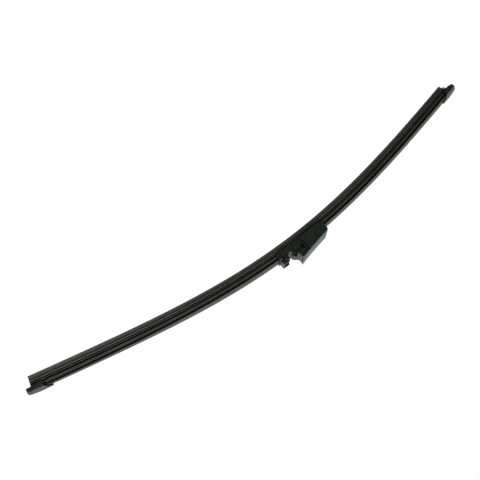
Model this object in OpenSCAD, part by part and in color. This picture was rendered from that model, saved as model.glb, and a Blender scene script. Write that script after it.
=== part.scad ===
// Flat rear wiper blade: a rubber wiping strip carried by two bowed spring strips,
// with clip-on cover strips, end caps and a snap connector for a cross pin on the arm.
// Millimetres. The origin is the pin seat's axis, +X runs along the blade towards the
// arm, +Z points away from the glass, and the lip edge of the rubber faces -Z.
// Heights named ..._z are measured up from the lip edge. Places named ..._x are measured
// along the connector from the pin seat, and places s along the blade from its middle.

/* [Blade] */
// Length along the blade, over both end caps
blade_l = 400.5; // [360.5:5:480.5]
// Radius of the even bow under the connector, at the spring strips
bow_r = 486; // [420:2:700]
// Half of the length over which the bow is even
bow_even_l = 32; // [31:1:40]
// How quickly the bow dies away from there to the tips
bow_fade = 1.29; // [0.8:0.01:2]
// Distance from the blade's middle to the pin seat
seat_offset = 1.35; // [0.8:0.05:2]
// Twist of the +X half about the blade's length, reached at the end cap
twist_plus = -12.4; // [-15:0.1:15]
// Twist of the -X half about the blade's length, reached at the end cap
twist_minus = 4.7; // [-15:0.1:15]

/* [Wiping rubber] */
// Thickness of the lip at its wiping edge
lip_edge_t = 0.7; // [0.5:0.05:0.9]
// Thickness of the lip where it leaves the shoulder
lip_root_t = 1.2; // [1:0.05:1.6]
// Height of the lip
lip_h = 3.65; // [3.4:0.05:3.9]
// Width across the shoulder above the lip
shoulder_w = 5.4; // [4.8:0.1:5.8]
// Thickness of the shoulder
shoulder_t = 0.95; // [0.85:0.05:1.05]
// Width of the thin hinge on which the lip tips over
hinge_w = 1; // [0.8:0.05:1.3]
// Height of the hinge
hinge_h = 0.7; // [0.6:0.05:0.8]
// Width across the flange above the hinge
flange_w = 6.6; // [6:0.1:6.8]
// Thickness of the flange
flange_t = 0.8; // [0.7:0.05:0.9]
// Width of the web between the flange and the spring strips
web_w = 3.2; // [2.8:0.1:3.6]
// Height of the web
web_h = 1.35; // [1.25:0.05:1.45]
// Width of the rubber between the two spring strips
spine_w = 2; // [1.8:0.05:2.1]
// Width of the head above the spring strips
head_w = 4; // [3.6:0.1:4.2]
// Thickness of the head
head_t = 0.5; // [0.45:0.05:0.55]
// Mean distance from the end caps' tips to the ends of the rubber
rubber_inset = 4.25; // [4.15:0.05:4.6]
// Shift of the rubber towards the +X end cap
rubber_shift = 0.95; // [0:0.05:1]

/* [Spring strips] */
// Width of each spring strip
strip_w = 2.9; // [2.6:0.05:3]
// Thickness of each spring strip
strip_t = 0.7; // [0.65:0.05:0.8]
// Gap between a spring strip and the rubber's spine
strip_gap = 0.1; // [0.05:0.01:0.15]
// Distance from the end cap's tip to the end of the spring strips
strip_inset = 5.2; // [4.8:0.1:6]

/* [Cover strips] */
// Width across the skirts of the cover strip
skirt_w = 9.4; // [9.2:0.1:9.6]
// Thickness of the hooks under the spring strips
hook_t = 0.6; // [0.5:0.05:0.7]
// Inner gap between the two hooks
hook_gap = 4.2; // [4:0.1:4.8]
// Width of the chamfer along each skirt's lower edge
skirt_chamfer_w = 0.7; // [0.5:0.05:0.8]
// Height of that chamfer
skirt_chamfer_h = 0.85; // [0.7:0.05:0.95]
// Thickness of cover strip between the spring strips and the side groove
groove_floor_t = 0.65; // [0.62:0.01:0.75]
// Height of the side groove
groove_h = 1.35; // [1.1:0.05:1.5]
// Width left between the two side grooves
groove_core_w = 5.8; // [5.4:0.1:6.2]
// Width across the roof above the side grooves
roof_w = 8.3; // [7.8:0.1:8.8]
// Height of the roof's edge
roof_edge_t = 0.4; // [0.3:0.05:0.5]
// Rise from the roof's edge to its crest
roof_rise = 0.6; // [0.55:0.05:0.8]
// Gap between the cover strip and the end cap's grip plates
cover_end_gap = 2.4; // [2:0.1:2.8]

/* [End caps] */
// Length of the end cap's body, which grips the spring strips
cap_body_l = 11.4; // [10.5:0.1:14]
// Reach of the tongue past the body, over the cover strip
cap_tongue_l = 5.5; // [5:0.1:7]
// Width across the end cap's body
cap_w = 9.7; // [9.4:0.1:10]
// Width across the raised grip plates
cap_grip_w = 10.4; // [10.2:0.1:11]
// Length of the shallow tip beyond the grip plates
cap_tip_l = 3.5; // [3.2:0.1:3.6]
// Width across the shallow tip
cap_tip_w = 9.5; // [9.2:0.1:9.6]
// Thickness of the end cap under the spring strips
cap_floor_t = 0.6; // [0.5:0.05:0.7]
// How much shallower the tip is than the body
cap_tip_step = 0.7; // [0.6:0.05:0.8]
// Thickness of the end cap's top over the cover strip, at the crest
cap_top_t = 1.3; // [1.2:0.05:1.4]
// Radius of the crest's arch along the tongue
cap_arch_r = 110; // [80:5:160]
// Radius of the crest's arch towards the tip
cap_nose_r = 58; // [40:1:70]
// Distance from the end cap's tip to the crest
cap_crest_x = 9; // [8:0.5:10]
// Radius of the crest's camber across the blade
cap_camber_r = 7; // [6.8:0.1:7.6]

/* [Connector base] */
// Reach of the base from the pin seat, away from the arm
base_back_l = 27.7; // [26.5:0.1:28.5]
// Reach of the base from the pin seat, towards the arm
base_front_l = 5.1; // [4.9:0.1:5.3]
// Width across the base's cheeks
base_w = 12.6; // [12.2:0.1:12.8]
// Drop of the cheeks below the claws
cheek_drop = 0.3; // [0.2:0.05:0.4]
// Thickness of the floor above the rubber's head
deck_t = 1.5; // [1.4:0.05:1.6]
// Length of the collar in front of the cheeks
collar_l = 3.7; // [3.4:0.1:4.2]
// Width across the collar
collar_w = 10.8; // [10.6:0.1:11.2]
// Height of the collar above the base's deck
collar_rise = 1.6; // [1.4:0.1:1.8]
// Width of the arm socket
socket_w = 8.2; // [7.8:0.1:8.6]
// Thickness of the arm socket's walls
socket_wall_t = 0.8; // [0.7:0.05:1]
// Distance from the pin seat to the arm socket's open end
socket_x = 2.3; // [2.3:0.1:2.8]
// Distance from the pin seat to the arm socket's outer end
socket_end_x = 7.9; // [7.6:0.1:8.3]
// Height of the arm socket's top above the pin seat
socket_top_h = 2.5; // [2.3:0.1:2.8]
// Depth of the pocket in the arm socket
socket_pocket_h = 1.5; // [1.3:0.1:1.6]

/* [Pin seat] */
// Diameter of the seat that the arm's cross pin snaps into
seat_d = 4.4; // [4:0.1:4.5]
// Height of the seat's axis above the lip edge
seat_z = 13.25; // [13.15:0.1:13.65]
// Height of the seat's mouth above its axis
mouth_h = 1.2; // [1.1:0.05:1.4]
// Width across the seat's housing
housing_w = 12.2; // [11.8:0.1:12.4]
// Height by which the rim round the seat stands out of each side
rim_h = 0.2; // [0.15:0.05:0.3]
// Width of the rim round the seat
rim_w = 0.9; // [0.7:0.05:1]
// Wall of the housing beside its pocket
housing_wall_t = 1.6; // [1.4:0.1:2]
// Height of each slit that frees the snap tongue
slit_h = 0.5; // [0.35:0.05:0.55]
// Height of the snap tongue between its slits
tongue_t = 0.8; // [0.7:0.05:0.9]
// Width across the snap tongue's upright finger
finger_w = 6.8; // [6:0.1:7.2]
// Height of the finger's top above the seat's axis
finger_h = 2.7; // [2.5:0.1:2.9]
// Distance from the pin seat's axis to the slits' closed ends
slit_l = 8.8; // [8:0.1:8.9]

/* [Connector cover] */
// Radius of the cover's curved side edge about the pin seat
side_edge_r = 13.7; // [13.4:0.1:14]
// Width across the cover
cover_w = 14.6; // [14.4:0.1:15.4]
// Thickness of the cover's walls
cover_wall_t = 0.85; // [0.8:0.05:1]
// Thickness of the cover's roof
cover_roof_t = 1; // [0.9:0.05:1.3]
// Distance from the pin seat to the roof's tall end
cover_tall_x = 5.8; // [5.6:0.1:6.2]
// Reach of the roof's low end past the base's far end
cover_reach = 6.3; // [5.8:0.1:6.8]
// Height of the roof at its tall end
cover_tall_z = 21.15; // [20.75:0.1:21.65]
// Height of the roof at its low end
cover_low_z = 15.25; // [14.95:0.1:15.65]
// Radius of the roof's hollow along the blade
cover_hollow_r = 290; // [230:5:500]
// Fall of the roof from its middle to its side edges
cover_camber = 0.3; // [0.2:0.05:0.5]
// Radius of the roof's side corners
cover_corner_r = 1; // [1:0.1:1.4]
// Radius between the roof and the low end
cover_nose_r = 3; // [2.6:0.1:3.4]
// Distance by which the foot of the low end stands in from its widest place
cover_foot_in = 0.6; // [0.4:0.1:0.8]
// Rise of the cover's lower edge towards the low end
cover_foot_rise = 1.1; // [0.8:0.1:1.3]

/* [Fit] */
// Gap between pieces that slide over one another
play = 0.1; // [0.08:0.01:0.14]
// Gap between the connector's cover and the pieces inside it
cover_play = 0.15; // [0.1:0.01:0.2]

/* [Hidden] */
$fn = 64;

// Fineness of the long sweeps
ring_gap = 8;
path_steps = 24;
arc_fn = 2400;

// Heights up the section, from the lip edge
shoulder_z = lip_h;
hinge_z = shoulder_z + shoulder_t;
flange_z = hinge_z + hinge_h;
web_z = flange_z + flange_t;
slot_z = web_z + web_h;
strip_z = slot_z + play;
strip_top_z = strip_z + strip_t;
head_z = strip_top_z + play;
head_top_z = head_z + head_t;
neutral_z = strip_z + strip_t / 2;
strip_y = spine_w / 2 + strip_gap;
pocket_half_w = strip_y + strip_w + play;
head_half_w = head_w / 2 + play;
hook_z = slot_z - hook_t;
groove_z = head_z + groove_floor_t;
roof_z = groove_z + groove_h;
crest_z = roof_z + roof_edge_t + roof_rise;
half_l = blade_l / 2;

// Connector heights and places
deck_z = head_top_z + play + deck_t;
cheek_z = hook_z - cheek_drop;
collar_x = base_front_l + collar_l;
cover_start_x = collar_x + play;
cover_low_x = base_back_l + cover_reach;
cover_strip_back_x = base_back_l + play;
cover_strip_end = half_l - cap_body_l - cover_end_gap;
cap_top_z = crest_z + play + cap_top_t;
seat_r = seat_d / 2;

// The blade's bow and twist: turn, twist and foot point at a distance s from the middle
fade_l = half_l - bow_even_l;
deg = 180 / PI;
function turn_abs(s) = s <= bow_even_l
  ? s / bow_r * deg
  : (bow_even_l + fade_l / (bow_fade + 1) * (1 - pow(fade_left(s), bow_fade + 1))) / bow_r * deg;
function fade_left(s) = max(1 - (s - bow_even_l) / fade_l, 0);
function turn(s) = sign(s) * turn_abs(abs(s));
function ease(t) = t * t * (3 - 2 * t);
twist_l = cover_strip_end - bow_even_l;
function twist(s) = (s > 0 ? twist_plus : twist_minus)
  * ease(min(max((abs(s) - bow_even_l) / twist_l, 0), 1));
function sum_steps(list, i = 0) = i == len(list) ? [0, 0] : list[i] + sum_steps(list, i + 1);
function even_foot(s) = bow_r * [sin(turn_abs(s)), cos(turn_abs(s)) - 1];
function fade_steps(s) = [for (i = [0 : path_steps - 1])
  let (h = (s - bow_even_l) / path_steps, a = turn_abs(bow_even_l + (i + 0.5) * h)) h * [cos(a), -sin(a)]];
function foot_abs(s) = s <= bow_even_l ? even_foot(s) : even_foot(bow_even_l) + sum_steps(fade_steps(s));
function foot(s) = let (f = foot_abs(abs(s))) [sign(s) * f[0], f[1]];

// A point of the section, y across and z up from the lip edge, carried to s along the blade
function carried(s, p) = let (
  f = foot(s), a = turn(s), t = twist(s), h = p[1] - neutral_z,
  y = p[0] * cos(t) - h * sin(t), r = p[0] * sin(t) + h * cos(t)
) [f[0] + r * sin(a), y, f[1] + r * cos(a) + neutral_z];

// Mirrors a half outline, given up one side, into a whole one
function both_sides(half) = concat(half, [for (i = [len(half) - 1 : -1 : 0]) [-half[i][0], half[i][1]]]);

// Moves pieces from the lip edge under the pin seat, or under the blade's middle, to the model's frame
module from_lip_edge() translate([0, 0, -seat_z]) children();
module from_middle() translate([-seat_offset, 0, -seat_z]) children();

// Stands pieces on the blade at s, turned and twisted with it
module on_blade(s)
  translate([foot(s)[0], 0, foot(s)[1] + neutral_z])
    rotate([0, turn(s), 0])
      rotate([twist(s), 0, 0])
        translate([0, 0, -neutral_z])
          children();

// Carries an outline along the bowed and twisted blade from s0 to s1. Its ends are closed by the
// outline itself, or by convex parts of it, each a list of its points' numbers
module blade_sweep(s0, s1, outline, parts = undef) {
  rings = ceil((s1 - s0) / ring_gap);
  n = len(outline);
  ends = is_undef(parts) ? [[for (j = [0 : n - 1]) j]] : parts;
  points = [for (i = [0 : rings], p = outline) carried(s0 + (s1 - s0) * i / rings, p)];
  lower = [for (i = [0 : rings - 1], j = [0 : n - 1])
    [i * n + j, i * n + (j + 1) % n, (i + 1) * n + (j + 1) % n]];
  upper = [for (i = [0 : rings - 1], j = [0 : n - 1])
    [i * n + j, (i + 1) * n + (j + 1) % n, (i + 1) * n + j]];
  start_faces = [for (e = ends) [for (j = [len(e) - 1 : -1 : 0]) e[j]]];
  end_faces = [for (e = ends) [for (j = e) rings * n + j]];
  from_middle() polyhedron(points, concat(start_faces, lower, upper, end_faces), convexity = 6);
}

// Carries a drawing along the even bow under the connector, which is a plain arc, from x0 to x1
module even_sweep(x0, x1)
  from_middle()
    translate([0, 0, neutral_z - bow_r])
      rotate([90, 0, 0])
        rotate([0, 0, 90 - (x1 + seat_offset) / bow_r * deg])
          rotate_extrude(angle = (x1 - x0) / bow_r * deg, $fn = arc_fn)
            translate([bow_r - neutral_z, 0])
              rotate(-90)
                children();

// Everything on the glass side of height z, along the even bow
module under_bow(z)
  from_middle()
    translate([0, 0, neutral_z - bow_r])
      rotate([90, 0, 0])
        cylinder(r = bow_r - neutral_z + z, h = 3 * cover_w, center = true, $fn = arc_fn);

// Extrudes a side view, x along and z up from the lip edge, to a width across the blade
module side_extrude(w) from_lip_edge() rotate([90, 0, 0]) linear_extrude(w, center = true) children();

// Wiping rubber: lip, shoulder, hinge, flange, web, spine and head. Its half outline always
// climbs, by a slight draft where it is level, so each step of it closes the ends with one flat piece
rubber_round = 0.2;
draft = 0.05;
function rubber_half() = [
  [lip_edge_t / 2, 0],
  [lip_root_t / 2, lip_h - 3 * rubber_round],
  [lip_root_t / 2 + 2 * rubber_round, shoulder_z - rubber_round],
  [shoulder_w / 2 - rubber_round, shoulder_z + draft],
  [shoulder_w / 2, shoulder_z + 1.5 * rubber_round],
  [shoulder_w / 2, hinge_z - 1.5 * rubber_round],
  [shoulder_w / 2 - rubber_round, hinge_z - draft],
  [hinge_w / 2 + rubber_round, hinge_z],
  [hinge_w / 2, hinge_z + rubber_round],
  [hinge_w / 2, flange_z - rubber_round],
  [hinge_w / 2 + rubber_round, flange_z],
  [flange_w / 2 - rubber_round, flange_z + draft],
  [flange_w / 2, flange_z + 1.5 * rubber_round],
  [flange_w / 2, web_z - 1.5 * rubber_round],
  [flange_w / 2 - rubber_round, web_z - draft],
  [web_w / 2, web_z],
  [web_w / 2, slot_z - draft],
  [spine_w / 2, slot_z],
  [spine_w / 2, head_z],
  [head_w / 2, head_z + draft],
  [head_w / 2, head_top_z - rubber_round],
  [head_w / 2 - rubber_round, head_top_z]
];
rubber_n = len(rubber_half());
rubber_parts = [for (i = [0 : rubber_n - 2]) [i, i + 1, 2 * rubber_n - 2 - i, 2 * rubber_n - 1 - i]];
module wiper_rubber()
  color([0.11, 0.11, 0.11])
    blade_sweep(-half_l + rubber_inset + rubber_shift, half_l - rubber_inset + rubber_shift,
      both_sides(rubber_half()), rubber_parts);

// Spring strips: one in each side slot of the rubber
module spring_strip(side) {
  y0 = side > 0 ? strip_y : -strip_y - strip_w;
  blade_sweep(-half_l + strip_inset, half_l - strip_inset,
    [[y0, strip_z], [y0 + strip_w, strip_z], [y0 + strip_w, strip_top_z], [y0, strip_top_z]]);
}
module spring_strip_front() color([0.16, 0.16, 0.17]) spring_strip(-1);
module spring_strip_back() color([0.16, 0.16, 0.17]) spring_strip(1);

// Cover strips: skirts that hook under the spring strips, a side groove and a low roof
skirt_break = 0.22;
roof_draft_w = 0.1;
function cover_outer_half() = [
  [hook_gap / 2, hook_z],
  [skirt_w / 2 - skirt_chamfer_w, hook_z],
  [skirt_w / 2 - 0.28 * skirt_chamfer_w, hook_z + 0.4 * skirt_chamfer_h],
  [skirt_w / 2, hook_z + skirt_chamfer_h],
  [skirt_w / 2, groove_z - skirt_break],
  [skirt_w / 2 - skirt_break, groove_z],
  [groove_core_w / 2, groove_z],
  [groove_core_w / 2, roof_z],
  [roof_w / 2 - roof_draft_w, roof_z + draft],
  [roof_w / 2, roof_z + roof_edge_t],
  [roof_w / 4, roof_z + roof_edge_t + 0.68 * roof_rise],
  [roof_w / 12, crest_z]
];
function cover_inner_half() = [
  [head_half_w, head_top_z + play],
  [head_half_w, head_z],
  [pocket_half_w, head_z],
  [pocket_half_w, slot_z],
  [hook_gap / 2, slot_z]
];
function cover_outline() = let (
  o = cover_outer_half(),
  q = cover_inner_half(),
  n = len(o),
  m = len(q)
) concat(
  o, [for (i = [n - 1 : -1 : 0]) [-o[i][0], o[i][1]]],
  [for (i = [m - 1 : -1 : 0]) [-q[i][0], q[i][1]]], q);
// Convex parts of the cover strip's outline: roof, core, and each side's shoulder, wall and hook
cover_parts = [
  [7, 8, 9, 10, 11, 12, 13, 14, 15, 16],
  [6, 7, 16, 17, 28, 29],
  [6, 29, 30], [4, 5, 6, 30, 31], [3, 4, 31, 32], [1, 2, 3, 32], [0, 1, 32, 33],
  [27, 28, 17], [26, 27, 17, 18, 19], [25, 26, 19, 20], [25, 20, 21, 22], [24, 25, 22, 23]
];
module cover_strip(s0, s1) blade_sweep(s0, s1, cover_outline(), cover_parts);
module cover_strip_left() color([0.13, 0.13, 0.13])
  cover_strip(cover_start_x + seat_offset, cover_strip_end);
module cover_strip_right() color([0.13, 0.13, 0.13])
  cover_strip(-cover_strip_end, -cover_strip_back_x + seat_offset);

// Space that the rubber and spring strips fill inside a carrier, with play all round
module carrier_space_2d(open_z, grow = play) {
  translate([-pocket_half_w, slot_z]) square([2 * pocket_half_w, head_z - slot_z]);
  translate([-head_half_w, slot_z]) square([2 * head_half_w, head_top_z + play - slot_z]);
  translate([-web_w / 2 - grow, open_z - 1]) square([web_w + 2 * grow, slot_z - open_z + 2]);
}

// End cap, drawn with its tip at x = 0 and its body towards -x
cap_floor_z = slot_z - cap_floor_t;
cap_tip_corner = 0.65;
cap_tongue_half_w = 1.2;
cap_rib_l = cover_end_gap - 0.3;
cap_side_z = cap_top_z - cap_camber_r + sqrt(pow(cap_camber_r, 2) - pow(cap_w / 2, 2));
grip_z = cap_side_z - 0.25;
module cap_plan_2d() {
  translate([-cap_body_l, -cap_w / 2]) square([cap_body_l - cap_tip_l, cap_w]);
  polygon([
    [-cap_tip_l - 0.01, -cap_w / 2], [-cap_tip_corner, -cap_tip_w / 2],
    [-cap_tip_corner / 3, -cap_tip_w / 2 + cap_tip_corner / 2], [0, -cap_tip_w / 2 + 1.2 * cap_tip_corner],
    [0, cap_tip_w / 2 - 1.2 * cap_tip_corner], [-cap_tip_corner / 3, cap_tip_w / 2 - cap_tip_corner / 2],
    [-cap_tip_corner, cap_tip_w / 2], [-cap_tip_l - 0.01, cap_w / 2]
  ]);
  polygon([
    [-cap_body_l + 0.01, -cap_w / 2], [-cap_body_l - cap_tongue_l, -cap_tongue_half_w],
    [-cap_body_l - cap_tongue_l, cap_tongue_half_w], [-cap_body_l + 0.01, cap_w / 2]
  ]);
}
module cap_side_2d()
  polygon([
    [-cap_body_l, cap_floor_z], [-cap_tip_l, cap_floor_z], [-cap_tip_l, cap_floor_z + cap_tip_step],
    [0, cap_floor_z + cap_tip_step], [0, cap_top_z + 1], [-cap_body_l - cap_tongue_l, cap_top_z + 1],
    [-cap_body_l - cap_tongue_l, roof_z + roof_edge_t / 2], [-cap_body_l, roof_z + roof_edge_t / 2]
  ]);
// The domed top: its camber carried along an arch of radius r, from x0 over a length
module cap_dome(r, x0, l) intersection() {
  translate([-cap_crest_x, 0, cap_top_z - r])
    rotate([90, 0, 0])
      rotate_extrude($fn = 720)
        intersection() {
          translate([r - cap_camber_r, 0]) circle(cap_camber_r, $fn = 240);
          translate([r - cap_camber_r + 0.2, -cap_grip_w]) square([cap_camber_r, 2 * cap_grip_w]);
        }
  translate([x0, -cap_grip_w, cap_floor_z - 1]) cube([l, 2 * cap_grip_w, 10]);
}
module cap_strip_space_2d() polygon(both_sides([
  [0.01, roof_z - 1], [roof_w / 2 + play, roof_z - 1], [roof_w / 2 + play, roof_z + roof_edge_t + play / 2],
  [roof_w / 4, roof_z + roof_edge_t + 0.68 * roof_rise + play], [roof_w / 12, crest_z + play]
]));
module grip_plate()
  difference() {
    translate([-cap_body_l, -cap_grip_w / 2, cap_floor_z])
      cube([cap_body_l - cap_tip_l, cap_grip_w, grip_z - cap_floor_z]);
    for (side = [-1, 1], x = [-cap_body_l, -cap_tip_l])
      translate([x, side * cap_grip_w / 2, cap_floor_z - 1])
        rotate([0, 0, 45])
          cube([0.5, 0.5, 12]);
  }
module end_cap() {
  difference() {
    union() {
      intersection() {
        translate([0, 0, cap_floor_z - 1]) linear_extrude(8) cap_plan_2d();
        rotate([90, 0, 0]) linear_extrude(2 * cap_grip_w, center = true) cap_side_2d();
        union() {
          cap_dome(cap_arch_r, -cap_body_l - cap_tongue_l - 1, cap_body_l + cap_tongue_l + 1 - cap_crest_x);
          cap_dome(cap_nose_r, -cap_crest_x, cap_crest_x + 1);
        }
      }
      grip_plate();
      translate([-cap_body_l - cap_rib_l, -groove_core_w / 2, head_top_z])
        cube([cap_rib_l + 0.1, groove_core_w, crest_z - head_top_z + 0.5]);
    }
    translate([-cap_body_l - cap_tongue_l - 1, 0, 0])
      rotate([90, 0, 90])
        linear_extrude(cap_tongue_l + 1 - cap_rib_l)
          cap_strip_space_2d();
    translate([-cap_body_l - 3, 0, 0])
      rotate([90, 0, 90])
        linear_extrude(cap_body_l + 3 - strip_inset + play)
          carrier_space_2d(cap_floor_z);
    translate([-cap_body_l - 3, 0, 0])
      rotate([90, 0, 90])
        linear_extrude(cap_body_l + 3 - rubber_inset + rubber_shift + play)
          intersection() {
            carrier_space_2d(cap_floor_z);
            translate([-head_half_w, 0]) square([2 * head_half_w, 20]);
          }
  }
}
module end_cap_left() color([0.12, 0.12, 0.12]) from_middle() on_blade(half_l) end_cap();
module end_cap_right() color([0.12, 0.12, 0.12])
  from_middle() on_blade(-half_l) mirror([1, 0, 0]) end_cap();

// Connector base: cheeks with claws under the spring strips, a deck, a collar and the arm socket
cheek_round = 0.35;
claw_wall = 1.9;
claw_gap = hook_gap - 0.2;
join = 0.01;
module base_2d() difference() {
  polygon(both_sides([
    [base_w / 2 - claw_wall, cheek_z],
    [base_w / 2 - cheek_round, cheek_z],
    [base_w / 2, cheek_z + cheek_round],
    [base_w / 2, deck_z]
  ]));
  translate([-base_w / 2 + claw_wall, cheek_z - 1]) square([base_w - 2 * claw_wall, hook_z - cheek_z + 1]);
  translate([-claw_gap / 2, cheek_z]) square([claw_gap, slot_z - cheek_z]);
  carrier_space_2d(slot_z);
}
module collar_2d() difference() {
  polygon(both_sides([
    [collar_w / 2 - cheek_round, cap_floor_z],
    [collar_w / 2, cap_floor_z + cheek_round],
    [collar_w / 2, deck_z + collar_rise - 2 * cheek_round],
    [collar_w / 2 - 2 * cheek_round, deck_z + collar_rise]
  ]));
  translate([-claw_gap / 2, cap_floor_z - 1]) square([claw_gap, slot_z - cap_floor_z + 1]);
  carrier_space_2d(slot_z);
}

// The collar stands clear of the housing's horn
module collar() difference() {
  even_sweep(base_front_l - join, collar_x) collar_2d();
  side_extrude(2 * collar_w)
    translate([base_front_l - 1, deck_z - 0.1])
      square([horn_low[0] + play - base_front_l + 1, 2 * collar_rise]);
}

// Arm socket: a block with a pocket that is open above and towards the seat
socket_top_z = seat_z + socket_top_h;
socket_foot_x = socket_x + 1;
socket_foot_z = seat_z + 0.5;
socket_corner = 0.4;
module socket_side_2d()
  polygon([
    [socket_x, socket_foot_z],
    [socket_foot_x, socket_foot_z],
    [socket_foot_x, deck_z - deck_t / 2],
    [socket_end_x, deck_z - deck_t / 2],
    [socket_end_x, socket_top_z - socket_corner],
    [socket_end_x - socket_corner, socket_top_z],
    [socket_x, socket_top_z]
  ]);
module arm_socket() difference() {
  side_extrude(socket_w) socket_side_2d();
  from_lip_edge()
    translate([socket_x - 1, -socket_w / 2 + socket_wall_t, socket_top_z - socket_pocket_h])
      cube([socket_end_x - socket_wall_t - socket_x + 1, socket_w - 2 * socket_wall_t, socket_pocket_h + 1]);
}

// Catch that snaps into the housing's window
window_x = -12.05;
window_l = 2.7;
window_z = deck_z + 0.8;
window_h = 3.8;
catch_neck_l = 1.3;
catch_w = 8;
module catch() {
  side_extrude(catch_w)
    translate([window_x + window_l / 2 - catch_neck_l / 2, deck_z - deck_t / 2])
      square([catch_neck_l, window_z + 0.4 * window_h - deck_z]);
  side_extrude(catch_w)
    translate([window_x + play, window_z + play])
      square([window_l - 2 * play, 0.4 * window_h]);
}
module connector_base() color([0.1, 0.11, 0.1]) {
  even_sweep(-base_back_l, base_front_l) base_2d();
  collar();
  arm_socket();
  catch();
}

// Pin housing: the C-shaped seat with its horn and snap tongue, and the walls under the cover
horn_foot = [base_front_l + 0.1, deck_z];
horn_low = [5.9, seat_z];
horn_high = [3.5, seat_z + 2];
horn_tip = [2.5, seat_z + 1.9];
mouth_half_w = sqrt(seat_r * seat_r - mouth_h * mouth_h);
tongue_z = seat_z + 0.65;
brow_low = [-4.4, seat_z + 2];
brow_high = [-cover_tall_x, seat_z + 3.6];
housing_back_x = -base_back_l + 0.3;
pocket_front_x = -12.9;
housing_gap = cover_camber + 2 * cover_play;
module housing_side_2d() difference() {
  polygon(concat(
    [
      [housing_back_x, deck_z - 2],
      [base_front_l, deck_z - 2],
      horn_foot,
      horn_low,
      horn_high,
      horn_tip,
      [mouth_half_w, seat_z + mouth_h],
      [0, seat_z],
      [-seat_r, tongue_z],
      [brow_low[0], tongue_z],
      brow_low,
      brow_high
    ],
    [for (x = [-cover_tall_x, -10, -15, -20, housing_back_x])
      [x, cover_roof_z(x) - cover_roof_t - housing_gap]]
  ));
  translate([0, seat_z]) circle(d = seat_d);
  translate([window_x, window_z]) square([window_l, window_h]);
  translate([-slit_l, tongue_z]) square([slit_l + brow_low[0] + 1, slit_h]);
  translate([-slit_l, tongue_z - tongue_t - slit_h]) square([slit_l, slit_h]);
}
module finger_2d() difference() {
  polygon([
    [-4.1, tongue_z - tongue_t / 2],
    [-3.7, seat_z + finger_h - 0.4],
    [-3.3, seat_z + finger_h],
    [-2.7, seat_z + finger_h],
    [-2.4, seat_z + finger_h - 0.4],
    [-1.9, seat_z + mouth_h],
    [-1.9, tongue_z - tongue_t / 2]
  ]);
  translate([0, seat_z]) circle(d = seat_d);
}
module seat_rim_2d() intersection() {
  translate([0, seat_z]) circle(r = seat_r + rim_w);
  housing_side_2d();
}
module pin_housing() color([0.11, 0.12, 0.11]) difference() {
  union() {
    side_extrude(housing_w) housing_side_2d();
    side_extrude(housing_w + 2 * rim_h) seat_rim_2d();
    side_extrude(finger_w) finger_2d();
  }
  under_bow(deck_z + 0.02);
  from_lip_edge()
    translate([housing_back_x + housing_wall_t, -housing_w / 2 + housing_wall_t, deck_z + housing_wall_t])
      cube([pocket_front_x - housing_back_x - housing_wall_t, housing_w - 2 * housing_wall_t, 20]);
  from_lip_edge()
    translate([socket_foot_x - play, -socket_w / 2 - play, deck_z - 1])
      cube([10, socket_w + 2 * play, 10]);
  from_lip_edge()
    translate([socket_x - play, -socket_w / 2 - play, socket_foot_z - play])
      cube([10, socket_w + 2 * play, 10]);
  from_lip_edge()
    translate([window_x + window_l / 2 - catch_neck_l / 2 - play, -catch_w / 2 - play, deck_z - 1])
      cube([catch_neck_l + 2 * play, catch_w + 2 * play, window_z - deck_z + 1 + play]);
}

// Connector cover: a hollow wedge whose roof reaches over the housing, open at the tall end
function cover_centre() = let (
  a = [-cover_tall_x, cover_tall_z], b = [-cover_low_x, cover_low_z], d = a - b, half = norm(d) / 2,
  up = [-d[1], d[0]] / norm(d)
) (a + b) / 2 + sqrt(pow(cover_hollow_r, 2) - half * half) * up;
function cover_roof_z(x) = let (c = cover_centre()) c[1] - sqrt(pow(cover_hollow_r, 2) - pow(x - c[0], 2));
roof_spread = 20;
roof_middle_x = -18;
// The roof's section carried about the hollow's centre, with its crest lowered by drop
module roof_sweep(half_w, drop, corner_r, camber) {
  c = cover_centre();
  corner = [for (a = [90 : -15 : 0])
    [half_w - corner_r + corner_r * cos(a), -camber - corner_r + corner_r * sin(a)]];
  from_lip_edge()
    translate([c[0], 0, c[1]])
      rotate([90, 0, 0])
        rotate([0, 0, -90 + asin((roof_middle_x - c[0]) / cover_hollow_r) - roof_spread / 2])
          rotate_extrude(angle = roof_spread, $fn = arc_fn)
            translate([cover_hollow_r + drop, 0])
              rotate(90)
                polygon(both_sides(concat([[0.001, 0]], corner, [[half_w, -30]])));
}
module cover_side_2d(inset) {
  low_x = -cover_low_x + inset;
  nose_r = cover_nose_r - inset;
  nose_c = [low_x + nose_r, cover_roof_z(-cover_low_x + cover_nose_r) - nose_r - inset];
  polygon(concat(
    [[low_x + cover_foot_in, cheek_z - 1], [-cover_tall_x + 2 * inset, cheek_z - 1],
      [-cover_tall_x + 2 * inset, 30], [nose_c[0] + 3, 30]],
    [for (a = [100 : 10 : 180]) nose_c + nose_r * [cos(a), sin(a)]]
  ));
}
module cover_foot_2d()
  polygon([[-base_back_l, 0], [-base_back_l, cheek_z - 1], [-40, 2 * cover_foot_rise + cheek_z], [-40, 0]]);
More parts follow.
